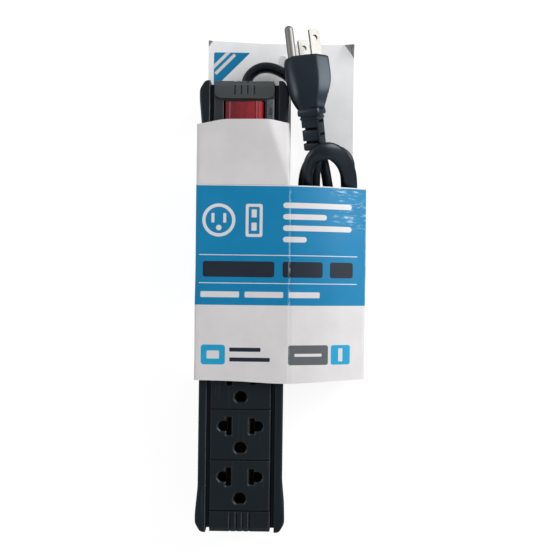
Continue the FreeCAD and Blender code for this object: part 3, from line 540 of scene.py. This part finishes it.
# ---------------------------------------------------------------- camera, floor and light
camera = bpy.data.objects.new("camera", bpy.data.cameras.new("camera"))
camera.data.lens = 72.32
camera.location = point(20.66, 14.75, 650)
camera.rotation_euler = (0, 0, math.radians(0.694))
bpy.context.collection.objects.link(camera)
bpy.context.scene.camera = camera
bpy.context.scene.view_settings.view_transform = "Standard"

deselect()
bpy.ops.mesh.primitive_plane_add(size=8, location=(0, 0, -0.0002))
floor = settle("floor")
material, tree = new_material("pale_floor")
rays = put(tree, "LightPath").outputs
seen = maths(tree, "MAXIMUM", rays["Is Camera Ray"], rays["Is Transmission Ray"])
plain = put(tree, "BsdfDiffuse", {"Color": (0.8, 0.8, 0.8, 1)}).outputs[0]
mirrored = put(tree, "BsdfDiffuse", {"Color": (0.22, 0.22, 0.22, 1)}).outputs[0]
plain = put(tree, "MixShader", {0: rays["Is Glossy Ray"], 1: plain, 2: mirrored}).outputs[0]
dim = put(tree, "BsdfDiffuse", {"Color": (0.22, 0.22, 0.22, 1)}).outputs[0]
glow = put(tree, "Emission", {"Color": (1, 1, 1, 1), "Strength": 0.9}).outputs[0]
shown = put(tree, "AddShader", {0: dim, 1: glow}).outputs[0]
mixed = put(tree, "MixShader", {0: seen, 1: plain, 2: shown}).outputs[0]
put(tree, "OutputMaterial", {"Surface": mixed})
floor.data.materials.append(material)

world = bpy.data.worlds.new("studio")
bpy.context.scene.world = world
world.use_nodes = True
tree = world.node_tree
tree.nodes.clear()
way = put(tree, "SeparateXYZ", {0: put(tree, "TexCoord").outputs["Generated"]}).outputs
rays = put(tree, "LightPath").outputs
level = ramp(tree, way[2], 0.1, 0.9, 0.66, 0.26)
level = maths(tree, "MAXIMUM", level, rays["Is Camera Ray"])
sky = put(tree, "Background", {"Color": (0.97, 0.985, 1, 1), "Strength": level}).outputs[0]
put(tree, "OutputWorld", {"Surface": sky})


def lamp(name, x, y, z, watts, width, height):
    """A soft box that faces the strip's middle."""
    data = bpy.data.lights.new(name, "AREA")
    data.shape, data.size, data.size_y, data.energy = "RECTANGLE", width, height, watts
    item = bpy.data.objects.new(name, data)
    item.location = point(x, y, z)
    item.rotation_euler = (item.location - point(20, 30, 10)).to_track_quat("Z", "Y").to_euler()
    bpy.context.collection.objects.link(item)


lamp("soft_box_right", 800, 540, 440, 11.5, 0.72, 0.8)
lamp("soft_box_left", -760, 230, 400, 1.8, 0.3, 0.5)

# ---------------------------------------------------------------- the flat cord
FLAT, EDGE = 0.0, 90.0  # the roll of the cord's section
CORD_HALF_WIDE, CORD_HALF_THICK = 4.75, 2.85
relief_end = (39.3, 86.9, 30.6)
hank_left, hank_right, hank_foot = 36.0, 58.6, -20.0
layer_1, layer_2, layer_3 = 4.3, 10.1, 15.9  # heights of the turns at the hank's foot


def bend(xa, xb, y, side, heights, rolls):
    """Half a turn from xa to xb: five points round the outside of its arc."""
    centre, r = (xa + xb) / 2, abs(xb - xa) / 2
    out = r / math.cos(math.pi / 10)
    turn = []
    for k in range(5):
        a = (k + 0.5) / 5
        x = centre + (xa - centre) / r * out * math.cos(a * math.pi)
        turn.append((x, y + side * out * math.sin(a * math.pi),
                     heights[0] + (heights[1] - heights[0]) * ease(a),
                     rolls[0] + (rolls[1] - rolls[0]) * ease(a)))
    return turn


def foot_bend(height):
    """The hank's lower bend, flat at one height."""
    return bend(hank_right, hank_left, hank_foot, -1, (height, height), (FLAT, FLAT))


# out of the housing, over to the right and down behind the plug into the sleeve
cord_route = [
    (0, 123.8, 9.6, EDGE), (0, 128.6, 9.6, EDGE), (5.3, 134.4, 9.8, EDGE), (12.2, 135.8, 10.4, EDGE),
    (20.4, 133.2, 10.4, EDGE), (27.6, 127.2, 9.8, EDGE), (33.4, 119, 8.6, EDGE), (37, 109.5, 7.6, EDGE),
    (40.2, 99.5, 6.8, EDGE), (43.2, 88.6, 6.4, EDGE), (45.6, 79, 6.4, EDGE), (47.2, 70, 6.4, EDGE),
    (48.6, 60, 6.2, 80), (51.5, 48, 5.6, 45), (55.5, 34, 4.6, 12), (58.4, 18, layer_1, FLAT),
    (58.6, -5, layer_1, FLAT)]
cord_route += foot_bend(layer_1)
# first turn, standing on its edge where it leaves the sleeve
cord_route += [
    (36, -5, layer_1, FLAT), (36, 14, 4.4, FLAT), (36.6, 30, 5.4, 20), (38.4, 42, 8.0, 60),
    (39.6, 52, 11, 85), (39.8, 62, 13.6, EDGE), (39.8, 72, 15.4, EDGE)]
cord_route += bend(40.0, 59.4, 78.6, 1, (16.0, 15.4), (EDGE, EDGE))
cord_route += [
    (59.4, 72, 13.0, EDGE), (59.6, 62, 11.2, 60), (59.2, 48, 10.6, 20), (58.6, 30, layer_2, FLAT),
    (58.6, 0, layer_2, FLAT)]
cord_route += foot_bend(layer_2)
# second turn, which stands up in front of the plug's end and lies over flat on its right
cord_route += [
    (36, -5, layer_2, FLAT), (36.2, 10, 10.4, FLAT), (37.2, 22, 12.6, 35), (38.2, 32, 16.2, 75),
    (38.2, 42, 20.2, EDGE), (37.2, 52, 23.6, EDGE), (36.0, 60, 25.4, EDGE), (35.3, 67, 27.0, EDGE),
    (35.1, 73.6, 31.2, 84), (36.6, 79.8, 36.6, 62), (41.0, 84.0, 40.4, 34), (47.2, 85.8, 39.4, 8),
    (53.6, 82.0, 33.4, -16), (57.6, 75.8, 26.6, -26), (58.7, 68.6, 21.0, -20), (58.7, 60, 17.6, -8),
    (58.6, 46, 16.2, FLAT), (58.6, 28, layer_3, FLAT), (58.6, 0, layer_3, FLAT)]
cord_route += foot_bend(layer_3)
# and up to the plug
cord_route += [
    (36, -5, layer_3, FLAT), (35.2, 6, 16.6, 14), (33.8, 16, 18.0, 55), (32.8, 26, 17.6, 85),
    (32.7, 42, 17.2, EDGE), (32.8, 56, 17.2, EDGE), (32.9, 66, 17.4, EDGE), (33.2, 72.6, 18.6, EDGE),
    (34.4, 77.4, 21.6, EDGE), (36.6, 81.0, 25.6, EDGE), (38.6, 83.8, 29.0, EDGE),
    (39.2, 86.2, 30.4, EDGE), (39.0, 89.2, 31.3, EDGE)]


def flat_cord():
    """One open curve with the cord's rounded flat section."""
    section = bpy.data.curves.new("cord_section", "CURVE")
    section.dimensions = "2D"
    ring = section.splines.new("POLY")
    count = 28
    ring.points.add(count - 1)
    for i in range(count):
        a = 2 * math.pi * i / count
        c, s = math.cos(a), math.sin(a)
        ring.points[i].co = (CORD_HALF_WIDE * MM * math.copysign(abs(c) ** 0.72, c),
                             CORD_HALF_THICK * MM * math.copysign(abs(s) ** 0.8, s), 0, 1)
    ring.use_cyclic_u = True
    data = bpy.data.curves.new("flat_cord", "CURVE")
    data.dimensions = "3D"
    data.twist_mode = "Z_UP"
    data.bevel_mode = "OBJECT"
    data.bevel_object = bpy.data.objects.new("cord_section", section)
    data.use_fill_caps = True
    data.resolution_u = 10
    spline = data.splines.new("NURBS")
    spline.points.add(len(cord_route) - 1)
    for place, (x, y, z, roll) in zip(spline.points, cord_route):
        place.co = (*point(x, y, z), 1)
        place.tilt = math.radians(roll)
    spline.order_u = 3
    spline.use_endpoint_u = True
    spline.use_smooth = True
    piece = bpy.data.objects.new("flat_cord", data)
    bpy.context.collection.objects.link(piece)
    return done(piece, "strip", "cord_pvc", cord_black, "cord_lead", "cord_tail", "cord_hank")


cord = flat_cord()

# ---------------------------------------------------------------- the plug
plug_origin = point(36.6, 135.6, 26.0)
pin_way = Vector((-0.12, 0.952, -0.28)).normalized()
across = Vector((0.452, 0.298, 0.841))
across = (across - pin_way * across.dot(pin_way)).normalized()
to_earth = across.cross(pin_way)
if to_earth.x > 0:
    to_earth.negate()
plug_turn = Matrix((across, to_earth, pin_way)).transposed().to_4x4()
plug_place = Matrix.Translation(plug_origin) @ plug_turn


def place_mesh(piece, matrix):
    take(piece)
    piece.matrix_world = matrix
    bpy.ops.object.transform_apply(location=True, rotation=True, scale=True)


def plug_moulding():
    """The head, drawn face down the local Z axis as one outline carried back through its sections."""
    # depth behind the face, half width, blade side and earth side
    sections = [
        (0.0, 11.0, -4.7, 16.2), (-0.9, 11.5, -5.0, 16.8), (-7.5, 11.8, -4.8, 16.9),
        (-14.5, 11.9, -4.6, 16.4), (-19.5, 11.2, -3.5, 15.7), (-23.5, 9.7, -2.4, 14.9),
        (-26.6, 8.0, -1.7, 13.6), (-29.4, 6.8, -1.0, 11.8), (-31.4, 6.2, -0.6, 10.0)]
    w, half, low, nose = sections[0]
    shoulder = low + 0.40 * (nose - low)
    piece = start_plane("plug_moulding", -half, half, low, shoulder, w)
    take(piece, edit=True)
    choose("EDGE", lambda p, d, size: p.y > shoulder - 0.1)
    extrude(0, nose - shoulder, 0)
    bpy.ops.transform.resize(value=(0.36, 1, 1), center_override=point(0, nose, w))
    bpy.ops.mesh.select_all(action="SELECT")
    bpy.ops.mesh.dissolve_faces()
    choose("VERT", lambda p, d, size: p.y > nose - 0.1)
    bpy.ops.mesh.bevel(offset=4.0 * MM, segments=5, affect="VERTICES")
    choose("VERT", lambda p, d, size: abs(p.x) > half - 0.1)
    bpy.ops.mesh.bevel(offset=1.1 * MM, segments=2, affect="VERTICES")
    bpy.ops.mesh.select_mode(type="FACE")
    bpy.ops.mesh.select_all(action="SELECT")
    for (w0, half0, low0, nose0), (w1, half1, low1, nose1) in zip(sections, sections[1:]):
        extrude(0, (low1 + nose1 - low0 - nose0) / 2, w1 - w0)
        middle = point(0, (low1 + nose1) / 2, w1)
        bpy.ops.transform.resize(value=(half1 / half0, (nose1 - low1) / (nose0 - low0), 1),
                                 center_override=middle)
    # the face closes the open front, sunk a little inside its rim
    bpy.ops.mesh.select_mode(type="EDGE")
    bpy.ops.mesh.select_all(action="DESELECT")
    bpy.ops.mesh.select_non_manifold()
    bpy.ops.mesh.edge_face_add()
    bpy.ops.mesh.inset(thickness=1.2 * MM)
    bpy.ops.mesh.inset(thickness=0.5 * MM, depth=-0.3 * MM)
    outward(piece)
    modify(piece, "SUBSURF", levels=2, render_levels=2)
    smooth(piece, 50)
    place_mesh(piece, plug_place)
    return done(piece, "strip", "cord_pvc", plug_black, "plug_body")


def slotted_relief():
    """The strain relief: a collar and a square neck cut half through from alternate sides."""
    start = plug_place @ point(0, 3.6, -27.4) + point(0, -1.9, 0)
    along = point(*relief_end) - start
    length = along.length / MM
    w = along.normalized()
    right = Vector((0.93, 0, 0.37))
    right = (right - w * right.dot(w)).normalized()
    up = w.cross(right)
    half, corner, foot = 4.95, 1.4, -1.5
    first_slot, slot_pitch, slot_width, clear = 5.3, 3.6, 1.5, 9
    piece = start_plane("slotted_relief", -half, half, -half, half, foot)
    take(piece, edit=True)
    choose("VERT", lambda p, d, size: True)
    bpy.ops.mesh.bevel(offset=corner * MM, segments=4, affect="VERTICES")
    bpy.ops.mesh.select_mode(type="FACE")
    bpy.ops.mesh.select_all(action="SELECT")
    bpy.ops.transform.resize(value=(1.2, 1.2, 1), center_override=point(0, 0, foot))
    # rise and scale of each ring: the collar, the groove, its lip, the neck and its rounded end
    steps = [(1.2, 1.06), (0.4, 1.02), (2.0, 1.0), (0.4, 0.96), (0.3, 0.86), (0.6, 0.99), (0.3, 1.07),
             (0.8, 1.0), (0.4, 0.91), (length - 5.8, 1.0), (0.6, 0.97), (0.3, 0.9)]
    height = foot
    for rise, scale in steps:
        extrude(0, 0, rise)
        height += rise
        bpy.ops.transform.resize(value=(scale, scale, 1), center_override=point(0, 0, height))
    bpy.ops.mesh.select_mode(type="EDGE")
    bpy.ops.mesh.select_all(action="DESELECT")
    bpy.ops.mesh.select_non_manifold()
    bpy.ops.mesh.edge_face_add()
    outward(piece)
    cutters = []
    for i in range(4):
        z = first_slot + i * slot_pitch
        if i % 2:
            cutters.append(start_box(f"front_slot_{i}", -half + 0.5, half - 0.8, half - 3.6, clear,
                                     z, z + slot_width))
            cutters.append(start_box(f"side_slot_{i}", -clear, -half + 0.6, -half + 1.2, clear,
                                     z, z + slot_width))
        else:
            cutters.append(start_box(f"right_slot_{i}", half - 2.4, clear, -half + 1.2, half - 0.9,
                                     z, z + slot_width))
    # the slot walls take the painted shade
    for tool in cutters:
        tool.data.materials.append(slot_painted_shade)
    piece.data.materials.append(plug_black)
    cut(piece, cutters)
    modify(piece, "BEVEL", width=0.25 * MM, segments=2, limit_method="ANGLE",
           angle_limit=math.radians(40))
    smooth(piece, 40)
    place_mesh(piece, Matrix.Translation(start) @ Matrix((right, up, w)).transposed().to_4x4())
    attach(piece, "strip")
    return piece


plug = plug_moulding()
relief = slotted_relief()

# ---------------------------------------------------------------- the card sleeve
card_thick = 0.5
wrap_half, wrap_top_z = 25.55, 38.24
wrap_side = 37.8  # height of the sleeve's upright sides
sleeve_foot, sleeve_join, sleeve_top = -40.2, 66.4, 102.5
panel_run, panel_drop = 43.1, 18.0  # the slanted panel over the cord
edge_run, edge_drop = 3.8, 19.4  # the side below its outer edge
glue_flap = 9.0
plain_foot = 66.5  # the white part starts just above the printed one
card_left, card_right = -26.1, 65.0
hole_x, hole_y = 20.9, 140.6
waves = bpy.data.textures.new("card_waves", "CLOUDS")
waves.noise_scale = 0.035
waves.noise_depth = 1


def grid_out(piece, rows, columns):
    """Divides long panels so that the card can bow and buckle."""
    take(piece, edit=True)
    choose("EDGE", lambda p, d, size: abs(d.y) > 0.99 and size > 5)
    bpy.ops.mesh.subdivide(number_cuts=rows)
    choose("EDGE", lambda p, d, size: abs(d.y) < 0.01 and size > 5)
    bpy.ops.mesh.subdivide(number_cuts=columns)
    deselect()


def thicken(piece):
    outward(piece)
    modify(piece, "DISPLACE", texture=waves, texture_coords="LOCAL", strength=0.5 * MM,
           mid_level=0.5)
    modify(piece, "SOLIDIFY", thickness=card_thick * MM, offset=-1.0)
    smooth(piece, 40)


def printed_sleeve():
    piece = start_plane("printed_sleeve", -wrap_half, wrap_half, sleeve_foot, sleeve_join, wrap_top_z)
    take(piece, edit=True)
    choose("EDGE", lambda p, d, size: p.x > wrap_half - 0.1)
    extrude(panel_run, 0, -panel_drop)
    extrude(-edge_run, 0, -edge_drop)
    extrude(-glue_flap, 0, 0.3)
    choose("EDGE", lambda p, d, size: p.x < -wrap_half + 0.1)
    extrude(0, 0, -wrap_side)

    def is_fold(p, d, size):
        folded = abs(p.x - wrap_half) < 0.1 or abs(p.x + wrap_half) < 0.1 or p.x > 64
        return abs(d.y) > 0.99 and folded and p.z > 0.3 and not (p.x < 0 and p.z < 30)

    choose("EDGE", is_fold)
    bpy.ops.mesh.bevel(offset=1.1 * MM, segments=4, affect="EDGES")
    grid_out(piece, 60, 26)

    def buckle(x, y, z):
        lower = ease((20 - y) / 60)
        crease = math.exp(-((x - wrap_half) / 24) ** 2)
        y -= 1.5 * lower * crease
        if wrap_half + 1 < x < 68:
            t = (x - wrap_half) / 43.0
            z += math.sin(math.pi * t) * (0.6 * math.sin(y / 17.0) + 2.6)
        return x, y, z

    reshape(piece, buckle)
    thicken(piece)
    return done(piece, "sleeve", "card", printed_card(), "lower_wrap")


def plain_sleeve():
    """The white upper sleeve, whose right shoulder opens out towards its cut end."""
    piece = start_plane("plain_sleeve", -wrap_half, wrap_half, plain_foot, sleeve_top, wrap_top_z)
    take(piece, edit=True)
    choose("EDGE", lambda p, d, size: abs(p.x - wrap_half) < 0.1)
    extrude(0, 0, -wrap_side)
    choose("EDGE", lambda p, d, size: p.x < -wrap_half + 0.1)
    extrude(0, 0, -wrap_side)
    choose("EDGE", lambda p, d, size: abs(p.x) > wrap_half - 0.1 and p.z > 30 and abs(d.y) > 0.99)
    bpy.ops.mesh.bevel(offset=1.6 * MM, segments=4, affect="EDGES")
    grid_out(piece, 30, 30)

    def shoulder(x, y, z):
        t = (y - plain_foot) / (sleeve_top - plain_foot)
        crease = wrap_half - 12.0 * t
        if z > wrap_top_z - 2 and t > 0.01:
            u = (x + wrap_half) / (crease + wrap_half)
            share = (wrap_half - x) / (wrap_half - crease)
            if x < crease:
                share = math.sin(min(u, 1.0) * math.pi / 2)
            z += 4.6 * t * share
        drop = 0.9 + 2.6 * ease((-8 - x) / 20) + 1.8 * ease((x - 12) / 18)
        drop += 0.06 * max(0.0, wrap_top_z - 6 - z)
        if x > 0:
            x -= 0.8 * t * t * ease((x - 14) / 11)
        return x, y - drop * t * t, z

    reshape(piece, shoulder)
    thicken(piece)
    return done(piece, "sleeve", "card", plain_card(), "upper_wrap")


def hang_card():
    """The backing card: narrower above the sleeve, die-cut behind the plug, its top corners turned."""
    left, right, top = -22.1, 61.8, 150.9
    piece = start_plane("hang_card", left, right, sleeve_top, top, card_thick)
    take(piece, edit=True)
    choose("EDGE", lambda p, d, size: p.y < sleeve_top + 0.1)
    extrude(0, sleeve_join - sleeve_top, 0)
    extrude(0, sleeve_foot - sleeve_join, 0)
    choose("EDGE", lambda p, d, size: p.x < left + 0.1 and p.y < 102)
    extrude(card_left - left, 0, 0)
    choose("EDGE", lambda p, d, size: p.x > right - 0.1 and p.y < 66)
    extrude(card_right - right, 0, 0)
    bpy.ops.mesh.select_all(action="SELECT")
    bpy.ops.mesh.remove_doubles(threshold=0.01 * MM)
    bpy.ops.mesh.subdivide(number_cuts=11)
    corners = ((right, top, 6.0, 8.5), (left, top, 3.0, 4.0))
    for x, y, a, b in corners:
        side = -1 if x > 0 else 1
        fold = Vector((b, side * a, 0)).normalized()
        bpy.ops.mesh.select_all(action="SELECT")
        bpy.ops.mesh.bisect(plane_co=point(x + side * a, y, card_thick), plane_no=fold)
    deselect()

    def lift(x, y, z):
        for cx, cy, a, b in corners:
            t = abs(x - cx) / a + abs(y - cy) / b
            if t < 1 and y > 120:
                z += (1 - t) * 0.42 * min(a, b)
        return x, y + 1.6 * ease((20 - x) / 50) * ease((y - 110) / 40), z

    reshape(piece, lift)
    hole = start_round("hang_hole", 3.5, 6, hole_x, hole_y, 0, 48)
    window_left = 25.8
    window = start_plane("window", window_left, 59.9, 66.9, 84.0, -2)
    take(window, edit=True)
    choose("EDGE", lambda p, d, size: p.y > 83.9)
    extrude(0, 5.3, 0)
    bpy.ops.transform.resize(value=(0.86, 1, 1), center_override=point(window_left, 0, 0))
    choose("EDGE", lambda p, d, size: p.y > 89)
    extrude(0, 0.6, 0)
    bpy.ops.transform.resize(value=(0.46, 1, 1), center_override=point(window_left, 0, 0))
    extrude(0, 16.1, 0)
    extrude(0, 13.0, 0)
    bpy.ops.transform.resize(value=(0.28, 1, 1), center_override=point(window_left, 0, 0))
    bpy.ops.mesh.select_all(action="SELECT")
    extrude(0, 0, 5)
    outward(window)
    modify(piece, "SOLIDIFY", thickness=card_thick * MM, offset=-1.0)
    cut(piece, [hole, window])
    smooth(piece, 30)
    return done(piece, "sleeve", "card", backing_card(), "backing_card")


def hole_flap():
    """The punched disc of the hang hole, still held on one side and curled up."""
    piece = start_round("hole_flap", 3.3, card_thick, hole_x, hole_y, 0.3, 40)
    take(piece, edit=True)
    for x in (-2.2, -1.1, 0.0, 1.1, 2.2):
        bpy.ops.mesh.select_all(action="SELECT")
        bpy.ops.mesh.bisect(plane_co=point(hole_x + x, hole_y, 0), plane_no=(1, 0, 0))
    deselect()

    root, width, turn = 17.6, 6.6, 0.9  # where it is held, its width and how far it curls

    def curl(x, y, z):
        a = turn * ((x - root) / width)
        return root + width * math.sin(a) / turn, y, z + width * (1 - math.cos(a)) / turn

    reshape(piece, curl)
    smooth(piece, 40)
    return done(piece, "sleeve", "card", backing_card())


printed_sleeve()
plain_sleeve()
hang_card()
hole_flap()


# ---------------------------------------------------------------- small marks on the switch panel
def switch_marks():
    """A raised ring and a raised bar beside the rocker's two ends."""
    top = 34.6  # the panel's face
    bar = start_box("switch_marks", 13.9, 15.5, 105.2, 109.0, top - 0.2, top + 0.22)
    take(bar, edit=True)
    choose("FACE", lambda p, d, size: d.z > 0.9)
    bpy.ops.mesh.inset(thickness=0.25 * MM, depth=0.08 * MM)
    deselect()
    bpy.ops.mesh.primitive_torus_add(major_radius=1.25 * MM, minor_radius=0.32 * MM, major_segments=36,
                                     minor_segments=10, location=point(14.7, 99.2, top))
    ring = settle("mark_ring")
    take(bar)
    ring.select_set(True)
    bpy.ops.object.join()
    smooth(bar, 40)
    # the marks take the hood's painted light grey
    return done(bar, "strip", "grey_plastic", hood_painted_light)


switch_marks()
